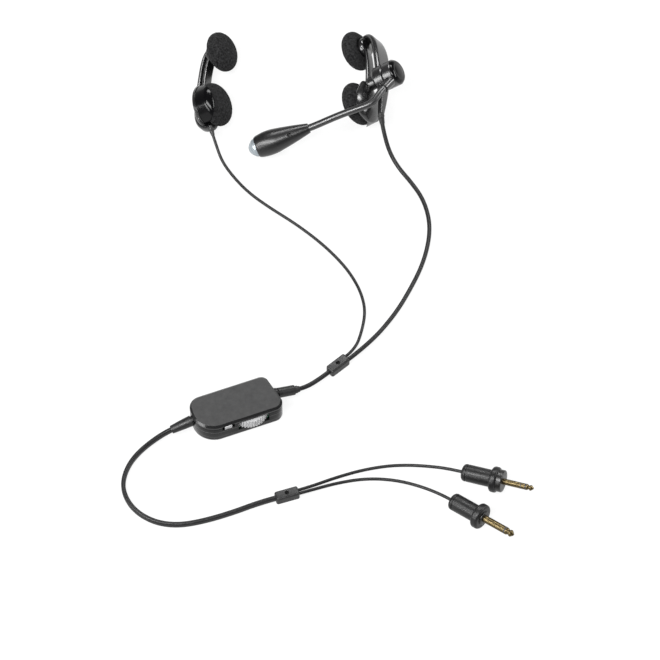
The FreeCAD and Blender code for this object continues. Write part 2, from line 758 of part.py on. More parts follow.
def module_screws():
    screws = []
    for u, v in SCREWS_AT:
        head = Part.makeCylinder(2.1, 1.0, V(u, v, 0.6), UP)
        head = head.cut(block(u - 1.3, u + 1.3, v - 0.3, v + 0.3, 0.0, 1.1))
        head = head.cut(block(u - 0.3, u + 0.3, v - 1.3, v + 1.3, 0.0, 1.1))
        shank = Part.makeCylinder(0.9, CASE_SPLIT + 0.8, V(u, v, 1.6), UP)
        screws.append(head.fuse(shank))
    return Part.makeCompound(screws)


def circuit_board():
    return block(-20.0, 25.0, -14.5, 14.5, BOARD_LOW, BOARD_TOP)


def wheel_potentiometer():
    body = Part.makeCylinder(6.0, WHEEL_LOW - BOARD_TOP - 0.3, V(WHEEL_U, wheel_v(), BOARD_TOP), UP)
    shaft = Part.makeCylinder(SHAFT_R, WHEEL_HIGH - BOARD_TOP, V(WHEEL_U, wheel_v(), BOARD_TOP), UP)
    return body.fuse(shaft)


def volume_wheel():
    points = []
    for i in range(WHEEL_TEETH):
        for share, radius in ((0.0, WHEEL_R - 0.7), (0.30, WHEEL_R - 0.7), (0.45, WHEEL_R), (0.85, WHEEL_R)):
            turn = 2 * math.pi * (i + share) / WHEEL_TEETH
            points.append(V(radius * math.cos(turn), radius * math.sin(turn), WHEEL_LOW))
    wheel = Part.Face(Part.makePolygon(points + points[:1])).extrude(V(0, 0, WHEEL_HIGH - WHEEL_LOW))
    wheel = wheel.cut(Part.makeCylinder(WHEEL_R - 3.0, 10, V(0, 0, WHEEL_HIGH - 2.6), UP))
    wheel = wheel.fuse(Part.makeCylinder(5.0, WHEEL_HIGH - WHEEL_LOW, V(0, 0, WHEEL_LOW), UP))
    wheel = wheel.cut(Part.makeCylinder(SHAFT_R + 0.05, 20, V(0, 0, 0), UP))
    return wheel.translated(V(WHEEL_U, wheel_v(), 0))


def mute_slider():
    low = SLIDER_TOP - SLIDER_TALL
    knob = block(-3.2, 3.2, -2.5, -0.9, low, SLIDER_TOP)
    knob = rounded(knob, 0.5, lambda edge: edge.BoundBox.YMax < -2.4)
    for x in (-1.6, 0.0, 1.6):
        knob = knob.cut(block(x - 0.3, x + 0.3, -4.0, -2.1, low + 0.4, SLIDER_TOP - 0.4))
    stem = block(-1.6, 1.6, -0.9, 4.0, low + 0.7, SLIDER_TOP - 0.5)
    return knob.fuse(stem)


def slide_switch():
    shelf = SLIDER_TOP - SLIDER_TALL + 0.3
    body = block(-5.0, 4.4, 3.0, 7.4, BOARD_TOP, shelf)
    post = block(-5.0, 4.4, 4.6, 7.4, shelf, SLIDER_TOP - 0.3)
    return body.fuse(post)


def make_module():
    reliefs = {
        1: moved(module_relief(TRUNK_CORD / 2, TRUNK_RELIEF, TRUNK_RELIEF_LENGTH, 2.7), relief_placement(1)),
        -1: moved(module_relief(MAIN_CORD_WIDE / 2, MAIN_RELIEF, MAIN_RELIEF_LENGTH, 3.6), relief_placement(-1)),
    }
    keep("module_base", module_base(), MODULE)
    keep("module_cover", module_cover(), MODULE)
    keep("module_screws", module_screws(), MODULE)
    keep("circuit_board", circuit_board(), MODULE)
    keep("wheel_potentiometer", wheel_potentiometer(), MODULE)
    keep("volume_wheel", volume_wheel(), MODULE)
    keep("mute_slider", moved(mute_slider(), slider_place()), MODULE)
    keep("slide_switch", moved(slide_switch(), slider_place()).cut(circuit_board()), MODULE)
    keep("trunk_relief", reliefs[1], MODULE)
    keep("main_relief", reliefs[-1], MODULE)


# Y blocks, made with the long side along X

def y_block():
    body = block(-BLOCK_LENGTH / 2, BLOCK_LENGTH / 2, -BLOCK_WIDTH / 2, BLOCK_WIDTH / 2, 0, BLOCK_HEIGHT)
    body = rounded(body, 1.8, lambda edge: edge.BoundBox.ZMax > BLOCK_HEIGHT - 0.01 or edge.BoundBox.ZLength > 7)
    body = body.makeChamfer(0.4, [edge for edge in body.Edges if edge.BoundBox.ZMax < 0.01])
    hole = Part.makeCylinder(BLOCK_HOLE_R, 4, V(0, 0, BLOCK_HEIGHT - 3.0), UP)
    return body.cut(hole)


def block_place(block_at):
    return FreeCAD.Placement(V(block_at[0], block_at[1], 0), FreeCAD.Rotation(UP, block_at[2]))


def make_y_blocks():
    keep("upper_y_block", y_block(), block_place(UPPER_BLOCK))
    keep("lower_y_block", y_block(), block_place(LOWER_BLOCK))


# Plugs, made along X from the back of the grip

def plug_placement(at, grip):
    slope = math.atan((FLANGE_R - BARREL_R) / (grip + FLANGE_ROUND - 3.0))
    turn = FreeCAD.Rotation(UP, at[2]) * FreeCAD.Rotation(V(0, 1, 0), -math.degrees(slope))
    lift = BARREL_R * math.cos(slope) - 3.0 * math.sin(slope)
    return FreeCAD.Placement(V(at[0], at[1], lift + 0.05), turn)


def plug_grip(grip, flange, cord_bore, spigot_r):
    edge = FLANGE_ROUND * (1 - math.sqrt(0.5))
    body = spun(
        (0, 0),
        (0, BARREL_R - 3.0),
        ((0.9, BARREL_R - 0.9), (3.0, BARREL_R)),
        (grip, BARREL_R),
        (grip, FLANGE_R - FLANGE_ROUND),
        ((grip + edge, FLANGE_R - edge), (grip + FLANGE_ROUND, FLANGE_R)),
        (grip + flange - FLANGE_ROUND, FLANGE_R),
        ((grip + flange - edge, FLANGE_R - edge), (grip + flange, FLANGE_R - FLANGE_ROUND)),
        (grip + flange, 0),
    )
    body = body.cut(rod(BARREL_R - 1.8, 3.2, grip - 1.0))
    body = body.cut(tube(BARREL_R + 1, BARREL_R - 0.6, 4.0, 5.2))
    body = body.cut(rod(cord_bore, -1, 5))
    body = body.cut(rod(spigot_r, grip - 3.0, grip + flange + 1))
    return body


def plug_collar(start, length, radius, spigot_r):
    return spun(
        (start, spigot_r),
        (start, radius),
        (start + length - 1.0, radius),
        ((start + length - 0.3, radius - 0.3), (start + length, radius - 1.0)),
        (start + length, spigot_r),
    )


def phone_pin(start):
    r = PHONE_PIN_R
    base = start - 5.0
    tip_at = start + PHONE_PIN_LENGTH
    band = tip_at - 9.4
    sleeve = tube(r, 1.8, start, band).fuse(tube(r - PIN_SPIGOT_STEP, 1.8, base, start))
    insulator = tube(1.8, 1.1, base, band).fuse(tube(r, 1.1, band, band + 1.3))
    tip = spun(
        (base - 2.0, 0),
        (base - 2.0, 1.1),
        (band + 1.3, 1.1),
        (band + 1.3, r),
        (band + 2.2, r),
        (band + 4.0, 2.2),
        (band + 4.8, 2.2),
        ((band + 6.0, r - 0.1), (band + 6.9, r - 0.5)),
        (tip_at - 0.5, 0.9),
        (tip_at, 0),
    )
    return sleeve, insulator, tip


def mic_pin(start):
    r = MIC_PIN_R
    base = start - 5.0
    tip_at = start + MIC_PIN_LENGTH
    rear_band = tip_at - 12.0
    front_band = tip_at - 7.6
    sleeve = tube(r, 1.9, start, rear_band).fuse(tube(r - PIN_SPIGOT_STEP, 1.9, base, start))
    rear = tube(1.9, 1.5, base, rear_band).fuse(tube(r, 1.5, rear_band, rear_band + 1.0))
    ring = tube(1.5, 1.1, base - 1.0, front_band).fuse(tube(r, 1.1, rear_band + 1.0, front_band))
    front = tube(1.1, 0.7, base - 1.0, front_band).fuse(tube(r, 0.7, front_band, front_band + 1.0))
    tip = spun(
        (base - 2.0, 0),
        (base - 2.0, 0.7),
        (front_band + 1.0, 0.7),
        (front_band + 1.0, r),
        (front_band + 1.7, r),
        (front_band + 3.2, 1.7),
        (front_band + 3.8, 1.7),
        ((front_band + 4.9, r - 0.1), (front_band + 5.6, r - 0.5)),
        (tip_at - 0.4, 0.8),
        (tip_at, 0),
    )
    return sleeve, rear, ring, front, tip


MIC_GRIP = 26.0
MIC_FLANGE = 6.5
MIC_COLLAR = 4.5
PHONE_GRIP = 26.2
PHONE_FLANGE = 7.0
PHONE_COLLAR = 1.3
MIC_PLACE = plug_placement(MIC_PLUG, MIC_GRIP)
PHONE_PLACE = plug_placement(PHONE_PLUG, PHONE_GRIP)


def make_plugs():
    bore = PLUG_CORD / 2
    mic_spigot = MIC_PIN_R - PIN_SPIGOT_STEP
    phone_spigot = PHONE_PIN_R - PIN_SPIGOT_STEP
    keep("mic_plug_grip", plug_grip(MIC_GRIP, MIC_FLANGE, bore, mic_spigot), MIC_PLACE)
    keep("mic_plug_collar", plug_collar(MIC_GRIP + MIC_FLANGE, MIC_COLLAR, 9.6, mic_spigot), MIC_PLACE)
    sleeve, rear, ring, front, tip = mic_pin(MIC_GRIP + MIC_FLANGE + MIC_COLLAR)
    keep("mic_plug_sleeve", sleeve, MIC_PLACE)
    keep("mic_plug_ring", ring, MIC_PLACE)
    keep("mic_plug_tip", tip, MIC_PLACE)
    keep("mic_plug_insulators", Part.makeCompound([rear, front]), MIC_PLACE)
    keep("phone_plug_grip", plug_grip(PHONE_GRIP, PHONE_FLANGE, bore, phone_spigot), PHONE_PLACE)
    keep("phone_plug_collar", plug_collar(PHONE_GRIP + PHONE_FLANGE, PHONE_COLLAR, 6.2, phone_spigot), PHONE_PLACE)
    sleeve, insulator, tip = phone_pin(PHONE_GRIP + PHONE_FLANGE + PHONE_COLLAR)
    keep("phone_plug_sleeve", sleeve, PHONE_PLACE)
    keep("phone_plug_tip", tip, PHONE_PLACE)
    keep("phone_plug_insulator", insulator, PHONE_PLACE)


# Cords, each from its hand-chosen points

def cord(name, points, tall, wide=None):
    route, length, tightest = route_wire(points)
    along = (points[1] - points[0]).normalize()
    if wide is None:
        section = Part.Wire([Part.Circle(points[0], along, tall / 2).toShape()])
        shape = route.makePipeShell([section], True, False)
        area = math.pi * tall * tall / 4
    else:
        level = V(along.x, along.y, 0).normalize()
        section = oval_section(points[0], level, UP, wide, tall)
        pipe = Part.BRepOffsetAPI.MakePipeShell(route)
        pipe.setBiNormalMode(UP)
        pipe.add(section, False, False)
        pipe.build()
        pipe.makeSolid()
        shape = pipe.shape()
        area = math.pi * wide * wide / 4 + (tall - wide) * wide
    keep(name, shape)
    share = shape.Volume / (area * length)
    print("%s length %.0f tightest radius %.1f volume share %.3f" % (name, length, tightest, share))


def world(place, point):
    return place.multVec(point)


def block_end(block_at, sign, lateral):
    return block_place(block_at).multVec(V(sign * BLOCK_LENGTH / 2, lateral, BLOCK_CORD_Z))


def ahead_of(point, heading, run, z):
    turn = math.radians(heading)
    return V(point.x + run * math.cos(turn), point.y + run * math.sin(turn), z)


LEFT_LIE = LEFT_EAR_CORD / 2 + 0.05
RIGHT_LIE = RIGHT_EAR_CORD / 2 + 0.05
MAIN_LIE = MAIN_CORD_TALL / 2 + 0.05
PLUG_LIE = PLUG_CORD / 2 + 0.05


def make_cords():
    left_start = world(LEFT, LEFT_EXIT + LEFT_EXIT_WAY * (LEFT_RELIEF_LENGTH - 1.0))
    left_next = world(LEFT, LEFT_EXIT + LEFT_EXIT_WAY * (LEFT_RELIEF_LENGTH + 8.0))
    left_end = block_end(UPPER_BLOCK, 1, 2.2)
    left_points = [
        left_start,
        left_next,
        V(-16.5, 263.5, 4.6),
        V(-5.5, 248.0, LEFT_LIE),
        V(8.0, 231.5, LEFT_LIE),
        V(26.0, 216.0, LEFT_LIE),
        V(50.0, 198.0, LEFT_LIE),
        V(72.0, 178.0, LEFT_LIE),
        V(89.0, 158.5, LEFT_LIE),
        V(100.0, 141.5, LEFT_LIE),
        V(107.5, 124.0, LEFT_LIE),
        V(110.8, 106.0, LEFT_LIE),
        V(108.0, 86.5, LEFT_LIE),
        ahead_of(left_end, UPPER_BLOCK[2], 12.0, BLOCK_CORD_Z),
        left_end,
    ]
    cord("left_ear_cord", left_points, LEFT_EAR_CORD)

    right_start = world(RIGHT, RIGHT_EXIT + RIGHT_EXIT_WAY * (RIGHT_RELIEF_LENGTH - 1.0))
    right_next = world(RIGHT, RIGHT_EXIT + RIGHT_EXIT_WAY * (RIGHT_RELIEF_LENGTH + 8.0))
    right_end = block_end(UPPER_BLOCK, 1, -1.7)
    right_points = [
        right_start,
        right_next,
        V(133.0, 268.5, 12.0),
        V(141.0, 257.5, 3.6),
        V(152.5, 242.5, RIGHT_LIE),
        V(162.5, 225.0, RIGHT_LIE),
        V(168.0, 203.0, RIGHT_LIE),
        V(167.5, 181.0, RIGHT_LIE),
        V(161.5, 155.0, RIGHT_LIE),
        V(150.5, 129.0, RIGHT_LIE),
        V(136.5, 102.0, RIGHT_LIE),
        ahead_of(right_end, UPPER_BLOCK[2], 26.0, BLOCK_CORD_Z),
        right_end,
    ]
    cord("right_ear_cord", right_points, RIGHT_EAR_CORD)

    trunk_start = world(MODULE.multiply(relief_placement(1)), V(TRUNK_RELIEF_LENGTH - 1.5, 0, 0))
    trunk_next = world(MODULE.multiply(relief_placement(1)), V(TRUNK_RELIEF_LENGTH + 6.5, 0, 0))
    trunk_end = block_end(UPPER_BLOCK, -1, 0.0)
    trunk_points = [
        trunk_start,
        V(trunk_next.x, trunk_next.y, trunk_next.z + 0.3),
        ahead_of(trunk_end, UPPER_BLOCK[2] + 180.0, 9.0, BLOCK_CORD_Z),
        trunk_end,
    ]
    cord("trunk_cord", trunk_points, TRUNK_CORD)

    main_start = world(MODULE.multiply(relief_placement(-1)), V(MAIN_RELIEF_LENGTH - 1.5, 0, 0))
    main_next = world(MODULE.multiply(relief_placement(-1)), V(MAIN_RELIEF_LENGTH + 7.5, 0, 0))
    main_end = block_end(LOWER_BLOCK, -1, 0.0)
    main_points = [
        main_start,
        V(main_next.x, main_next.y, main_next.z - 0.1),
        V(-79.0, -34.5, MAIN_LIE),
        V(-89.5, -48.0, MAIN_LIE),
        V(-95.0, -62.5, MAIN_LIE),
        V(-95.5, -76.0, MAIN_LIE),
        V(-90.0, -90.0, MAIN_LIE),
        V(-80.0, -101.0, MAIN_LIE),
        V(-65.0, -109.0, MAIN_LIE),
        V(-47.0, -111.0, MAIN_LIE),
        V(-27.0, -107.0, MAIN_LIE),
        V(-3.0, -99.0, MAIN_LIE + 0.1),
        ahead_of(main_end, LOWER_BLOCK[2] + 180.0, 15.0, BLOCK_CORD_Z),
        main_end,
    ]
    cord("main_cord", main_points, MAIN_CORD_TALL, MAIN_CORD_WIDE)
    pieces["main_relief"] = pieces["main_relief"].cut(pieces["main_cord"])

    mic_start = block_end(LOWER_BLOCK, 1, 1.7)
    mic_points = [
        mic_start,
        ahead_of(mic_start, LOWER_BLOCK[2], 11.0, BLOCK_CORD_Z),
        V(84.0, -63.5, PLUG_LIE),
        V(107.0, -55.8, PLUG_LIE),
        V(129.0, -51.5, PLUG_LIE),
        V(147.0, -50.8, PLUG_LIE),
        V(163.5, -52.6, 2.6),
        world(MIC_PLACE, V(-13.0, 0, 0)),
        world(MIC_PLACE, V(2.0, 0, 0)),
    ]
    cord("mic_plug_cord", mic_points, PLUG_CORD)

    phone_start = block_end(LOWER_BLOCK, 1, -1.7)
    phone_points = [
        phone_start,
        ahead_of(phone_start, LOWER_BLOCK[2], 12.0, BLOCK_CORD_Z),
        V(88.0, -68.0, PLUG_LIE),
        V(110.0, -64.2, PLUG_LIE),
        V(131.0, -65.0, PLUG_LIE),
        V(151.0, -69.6, PLUG_LIE),
        world(PHONE_PLACE, V(-13.0, 0, 0)),
        world(PHONE_PLACE, V(2.0, 0, 0)),
    ]
    cord("phone_plug_cord", phone_points, PLUG_CORD)


make_ear_units()
make_module()
make_y_blocks()
make_plugs()
make_cords()

for name, shape in pieces.items():
    lowest = min(point.z for point in shape.tessellate(0.1)[0])
    print("%s solids %d valid %s z %.2f" % (name, len(shape.Solids), shape.isValid(), lowest))
    shape.exportStep("parts/" + name + ".step")
print("pieces", len(pieces))
for label, place, point in (
    ("boom pivot", RIGHT, V(-38.0, DRUM_Y, 0)),
    ("wheel", MODULE, V(WHEEL_U, wheel_v(), 13.0)),
    ("slider", MODULE.multiply(slider_place()), V(0, 0, 15.0)),
    ("mic pin", MIC_PLACE, V(MIC_GRIP + MIC_FLANGE + MIC_COLLAR + 1.0, 0, 0)),
    ("phone pin", PHONE_PLACE, V(PHONE_GRIP + PHONE_FLANGE + PHONE_COLLAR + 1.0, 0, 0)),
):
    at = world(place, point)
    way = place.Rotation.multVec(V(1, 0, 0))
    print("%s at %.3f %.3f %.3f x axis %.5f %.5f %.5f" % (label, at.x, at.y, at.z, way.x, way.y, way.z))
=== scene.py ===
import math

import bmesh
import bpy
from mathutils import Matrix, Vector


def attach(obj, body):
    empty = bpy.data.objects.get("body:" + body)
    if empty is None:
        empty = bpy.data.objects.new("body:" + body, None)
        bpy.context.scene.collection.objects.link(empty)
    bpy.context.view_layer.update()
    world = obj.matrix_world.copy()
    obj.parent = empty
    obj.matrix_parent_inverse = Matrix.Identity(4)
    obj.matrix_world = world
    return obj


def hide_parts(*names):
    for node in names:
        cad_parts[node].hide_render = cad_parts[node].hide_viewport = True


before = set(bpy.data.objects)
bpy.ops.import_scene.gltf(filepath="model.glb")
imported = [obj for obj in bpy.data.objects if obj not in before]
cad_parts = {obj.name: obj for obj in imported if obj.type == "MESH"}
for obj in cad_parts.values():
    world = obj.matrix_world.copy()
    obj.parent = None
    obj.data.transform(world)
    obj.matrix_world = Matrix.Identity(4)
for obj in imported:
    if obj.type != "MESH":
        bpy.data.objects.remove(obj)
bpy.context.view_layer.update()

scene = bpy.context.scene
scene.view_settings.view_transform = "Standard"


# Photographer's table.
# A sheet of board far larger than the picture, in a white tent with four soft lamps. The camera
# and the gloss see the board white, and other rays see it grey, so it throws little light back.

def new_piece(name, mesh):
    piece = bpy.data.objects.new(name, mesh)
    scene.collection.objects.link(piece)
    return piece


def new_material(name):
    material = bpy.data.materials.new(name)
    material.use_nodes = True
    material.node_tree.nodes.clear()
    output = material.node_tree.nodes.new("ShaderNodeOutputMaterial")
    shader = material.node_tree.nodes.new("ShaderNodeBsdfPrincipled")
    material.node_tree.links.new(shader.outputs["BSDF"], output.inputs["Surface"])
    return material, shader


board_half = 4.0
board_mesh = bpy.data.meshes.new("table_board")
shape = bmesh.new()
bmesh.ops.create_grid(shape, x_segments=1, y_segments=1, size=board_half)
shape.to_mesh(board_mesh)
shape.free()
board = new_piece("table_board", board_mesh)
board_finish, board_shader = new_material("white_board")
board_shader.inputs["Base Color"].default_value = (0.5, 0.5, 0.5, 1)
board_shader.inputs["Roughness"].default_value = 0.9
board_shader.inputs["Specular IOR Level"].default_value = 0.0
board_nodes = board_finish.node_tree.nodes
board_links = board_finish.node_tree.links
shown_white = board_nodes.new("ShaderNodeEmission")
shown_white.inputs["Strength"].default_value = 0.84
shown_matte = board_nodes.new("ShaderNodeBsdfDiffuse")
shown_matte.inputs["Color"].default_value = (0.115, 0.115, 0.115, 1)
shown_board = board_nodes.new("ShaderNodeAddShader")
ray = board_nodes.new("ShaderNodeLightPath")
camera_or_glossy = board_nodes.new("ShaderNodeMath")
camera_or_glossy.operation = "MAXIMUM"
seen = board_nodes.new("ShaderNodeMath")
seen.operation = "MAXIMUM"
board_mix = board_nodes.new("ShaderNodeMixShader")
board_links.new(ray.outputs["Is Camera Ray"], camera_or_glossy.inputs[0])
board_links.new(ray.outputs["Is Glossy Ray"], camera_or_glossy.inputs[1])
board_links.new(camera_or_glossy.outputs["Value"], seen.inputs[0])
board_links.new(ray.outputs["Is Transmission Ray"], seen.inputs[1])
board_links.new(shown_white.outputs["Emission"], shown_board.inputs[0])
board_links.new(shown_matte.outputs["BSDF"], shown_board.inputs[1])
board_links.new(seen.outputs["Value"], board_mix.inputs["Fac"])
board_links.new(board_shader.outputs["BSDF"], board_mix.inputs[1])
board_links.new(shown_board.outputs["Shader"], board_mix.inputs[2])
board_links.new(board_mix.outputs["Shader"], board_nodes["Material Output"].inputs["Surface"])
board_mesh.materials.append(board_finish)

world = bpy.data.worlds.new("white_tent")
scene.world = world
world.use_nodes = True
tent = world.node_tree.nodes["Background"]
tent.inputs["Color"].default_value = (1, 1, 1, 1)
around = world.node_tree.nodes.new("ShaderNodeTexCoord")
height = world.node_tree.nodes.new("ShaderNodeSeparateXYZ")
tent_light = world.node_tree.nodes.new("ShaderNodeMapRange")
tent_light.inputs["From Min"].default_value = 0.02
tent_light.inputs["From Max"].default_value = 0.45
tent_light.inputs["To Min"].default_value = 0.40
tent_light.inputs["To Max"].default_value = 0.10
world.node_tree.links.new(around.outputs["Generated"], height.inputs["Vector"])
world.node_tree.links.new(height.outputs["Z"], tent_light.inputs["Value"])
world.node_tree.links.new(tent_light.outputs["Result"], tent.inputs["Strength"])

lamps_aim = Vector((0.08, 0.1, 0.0))


def soft_lamp(name, at, wide, tall, power, along):
    lamp_data = bpy.data.lights.new(name, "AREA")
    lamp_data.shape = "RECTANGLE"
    lamp_data.size = wide
    lamp_data.size_y = tall
    lamp_data.energy = power
    lamp = bpy.data.objects.new(name, lamp_data)
    backward = (Vector(at) - lamps_aim).normalized()
    sideways = (Vector(along) - backward * Vector(along).dot(backward)).normalized()
    upward = backward.cross(sideways)
    lamp.location = at
    lamp.rotation_euler = Matrix((sideways, upward, backward)).transposed().to_euler()
    scene.collection.objects.link(lamp)


soft_lamp("lamp_above", (0.2, 1.75, 2.0), wide=1.8, tall=0.5, power=42, along=(1, 0, 0))
soft_lamp("lamp_right", (1.5, 0.35, 0.8), wide=1.1, tall=0.3, power=16, along=(0, 1, 0))
soft_lamp("lamp_left", (-1.35, -0.75, 0.75), wide=1.4, tall=0.3, power=22, along=(0.5, -0.85, 0))
soft_lamp("lamp_front", (-0.85, -1.15, 2.5), wide=3.0, tall=0.8, power=150, along=(-0.88, 0.44, -0.14))

camera_rise = math.radians(57.0)
camera_distance = 3.5
picture_scale = 0.00087
picture_pixels = 660
sensor_width = 36.0
look_at = Vector((0.07996, 0.08720, 0.0))
camera_data = bpy.data.cameras.new("camera")
camera_data.sensor_width = sensor_width
camera_data.lens = camera_distance / picture_scale * sensor_width / picture_pixels
camera_data.clip_end = 20
camera = bpy.data.objects.new("camera", camera_data)
camera.location = look_at + Vector((0, -math.cos(camera_rise), math.sin(camera_rise))) * camera_distance
camera.rotation_euler = (math.pi / 2 - camera_rise, 0, 0)
scene.collection.objects.link(camera)
scene.camera = camera


# Cords.
# Stranded copper in a smooth black jacket, five of them round and the main one flat
# and standing on its edge. Each leaves a relief, a Y block or a plug and lies on the table.

def finish_group():
    # Fine grain for the relief, and broad smudges that shift the colour and the gloss.
    group = bpy.data.node_groups.new("moulded_finish", "ShaderNodeTree")
    sockets = group.interface
    sockets.new_socket("Colour", in_out="INPUT", socket_type="NodeSocketColor")
    sockets.new_socket("Worn Colour", in_out="INPUT", socket_type="NodeSocketColor")
    for name, value in (
        ("Grain Scale", 900.0),
        ("Smudge Scale", 60.0),
        ("Roughness Low", 0.3),
        ("Roughness High", 0.5),
        ("Colour Drift", 0.1),
    ):
        socket = sockets.new_socket(name, in_out="INPUT", socket_type="NodeSocketFloat")
        socket.default_value = value
    sockets.new_socket("Colour", in_out="OUTPUT", socket_type="NodeSocketColor")
    sockets.new_socket("Roughness", in_out="OUTPUT", socket_type="NodeSocketFloat")
    sockets.new_socket("Height", in_out="OUTPUT", socket_type="NodeSocketFloat")
    nodes = group.nodes
    links = group.links
    entry = nodes.new("NodeGroupInput")
    leave = nodes.new("NodeGroupOutput")
    place = nodes.new("ShaderNodeTexCoord")
    grain = nodes.new("ShaderNodeTexNoise")
    grain.inputs["Detail"].default_value = 3.0
    smudge = nodes.new("ShaderNodeTexNoise")
    smudge.inputs["Detail"].default_value = 5.0
    smudge.inputs["Roughness"].default_value = 0.65
    links.new(place.outputs["Object"], grain.inputs["Vector"])
    links.new(place.outputs["Object"], smudge.inputs["Vector"])
    links.new(entry.outputs["Grain Scale"], grain.inputs["Scale"])
    links.new(entry.outputs["Smudge Scale"], smudge.inputs["Scale"])
    spread = nodes.new("ShaderNodeMapRange")
    spread.inputs["From Min"].default_value = 0.35
    spread.inputs["From Max"].default_value = 0.65
    links.new(smudge.outputs["Fac"], spread.inputs["Value"])
    links.new(entry.outputs["Roughness Low"], spread.inputs["To Min"])
    links.new(entry.outputs["Roughness High"], spread.inputs["To Max"])
    links.new(spread.outputs["Result"], leave.inputs["Roughness"])
    amount = nodes.new("ShaderNodeMath")
    amount.operation = "MULTIPLY"
    links.new(smudge.outputs["Fac"], amount.inputs[0])
    links.new(entry.outputs["Colour Drift"], amount.inputs[1])
    mix = nodes.new("ShaderNodeMix")
    mix.data_type = "RGBA"
    links.new(amount.outputs["Value"], mix.inputs["Factor"])
    links.new(entry.outputs["Colour"], mix.inputs[6])
    links.new(entry.outputs["Worn Colour"], mix.inputs[7])
    links.new(mix.outputs[2], leave.inputs["Colour"])
    links.new(grain.outputs["Fac"], leave.inputs["Height"])
    return group


moulded_finish = finish_group()


def surface_finish(nodes, colour, worn, grain, smudge, rough, drift):
    finish = nodes.new("ShaderNodeGroup")
    finish.node_tree = moulded_finish
    finish.inputs["Colour"].default_value = (*colour, 1)
    finish.inputs["Worn Colour"].default_value = (*worn, 1)
    finish.inputs["Grain Scale"].default_value = grain
    finish.inputs["Smudge Scale"].default_value = smudge
    finish.inputs["Roughness Low"].default_value = rough[0]
    finish.inputs["Roughness High"].default_value = rough[1]
    finish.inputs["Colour Drift"].default_value = drift
    return finish


def moulded(name, colour, worn, grain, smudge, rough, drift, relief, specular=0.5, metallic=0.0):
    material, shader = new_material(name)
    nodes = material.node_tree.nodes
    links = material.node_tree.links
    finish = surface_finish(nodes, colour, worn, grain, smudge, rough, drift)
    bump = nodes.new("ShaderNodeBump")
    bump.inputs["Strength"].default_value = 1.0
    bump.inputs["Distance"].default_value = relief
    links.new(finish.outputs["Colour"], shader.inputs["Base Color"])
    links.new(finish.outputs["Roughness"], shader.inputs["Roughness"])
    links.new(finish.outputs["Height"], bump.inputs["Height"])
    links.new(bump.outputs["Normal"], shader.inputs["Normal"])
    shader.inputs["Specular IOR Level"].default_value = specular
    shader.inputs["Metallic"].default_value = metallic
    return material


cord_jacket = moulded(
    "cord_jacket",
    colour=(0.005, 0.005, 0.0055),
    worn=(0.012, 0.012, 0.012),
    grain=1400,
    smudge=90,
    rough=(0.40, 0.48),
    drift=0.35,
    relief=0.000006,
    specular=0.28,
)

# The routes run from where each cord leaves to where it goes in.
left_ear_route = [
    (-0.0249, 0.2857, 0.0159),
    (-0.0222, 0.2780, 0.0121),
    (-0.0165, 0.2635, 0.0046),
    (-0.0055, 0.2480, 0.0014),
    (0.0080, 0.2315, 0.0014),
    (0.0260, 0.2160, 0.0014),
    (0.0500, 0.1980, 0.0014),
    (0.0720, 0.1780, 0.0014),
    (0.0890, 0.1585, 0.0014),
    (0.1000, 0.1415, 0.0014),
    (0.1075, 0.1240, 0.0014),
    (0.1108, 0.1060, 0.0014),
    (0.1080, 0.0865, 0.0014),
    (0.1020, 0.0651, 0.0040),
    (0.0931, 0.0570, 0.0040),
]
right_ear_route = [
    (0.1264, 0.2875, 0.0306),
    (0.1279, 0.2810, 0.0246),
    (0.1330, 0.2685, 0.0120),
    (0.1410, 0.2575, 0.0036),
    (0.1525, 0.2425, 0.0019),
    (0.1625, 0.2250, 0.0019),
    (0.1680, 0.2030, 0.0019),
    (0.1675, 0.1810, 0.0019),
    (0.1615, 0.1550, 0.0019),
    (0.1505, 0.1290, 0.0019),
    (0.1365, 0.1020, 0.0019),
    (0.1150, 0.0715, 0.0040),
    (0.0957, 0.0541, 0.0040),
]
trunk_route = [
    (0.0520, 0.0227, 0.0058),
    (0.0593, 0.0255, 0.0043),
    (0.0726, 0.0356, 0.0040),
    (0.0792, 0.0416, 0.0040),
]
main_route = [
    (-0.0541, -0.0181, 0.0068),
    (-0.0623, -0.0212, 0.0047),
    (-0.0790, -0.0345, 0.0030),
    (-0.0895, -0.0480, 0.0030),
    (-0.0950, -0.0625, 0.0030),
    (-0.0955, -0.0760, 0.0030),
    (-0.0900, -0.0900, 0.0030),
    (-0.0800, -0.1010, 0.0030),
    (-0.0650, -0.1090, 0.0030),
    (-0.0470, -0.1110, 0.0030),
    (-0.0270, -0.1070, 0.0030),
    (-0.0030, -0.0990, 0.0032),
    (0.0195, -0.0897, 0.0040),
    (0.0338, -0.0851, 0.0040),
]
mic_plug_route = [
    (0.0529, -0.0771, 0.0040),
    (0.0633, -0.0737, 0.0040),
    (0.0840, -0.0635, 0.0014),
    (0.1070, -0.0558, 0.0014),
    (0.1290, -0.0515, 0.0014),
    (0.1470, -0.0508, 0.0014),
    (0.1635, -0.0526, 0.0026),
    (0.1804, -0.0565, 0.0052),
    (0.1944, -0.0616, 0.0073),
]
phone_plug_route = [
    (0.0539, -0.0803, 0.0040),
    (0.0653, -0.0766, 0.0040),
    (0.0880, -0.0680, 0.0014),
    (0.1100, -0.0642, 0.0014),
    (0.1310, -0.0650, 0.0014),
    (0.1510, -0.0696, 0.0014),
    (0.1728, -0.0811, 0.0052),
    (0.1846, -0.0901, 0.0073),
]


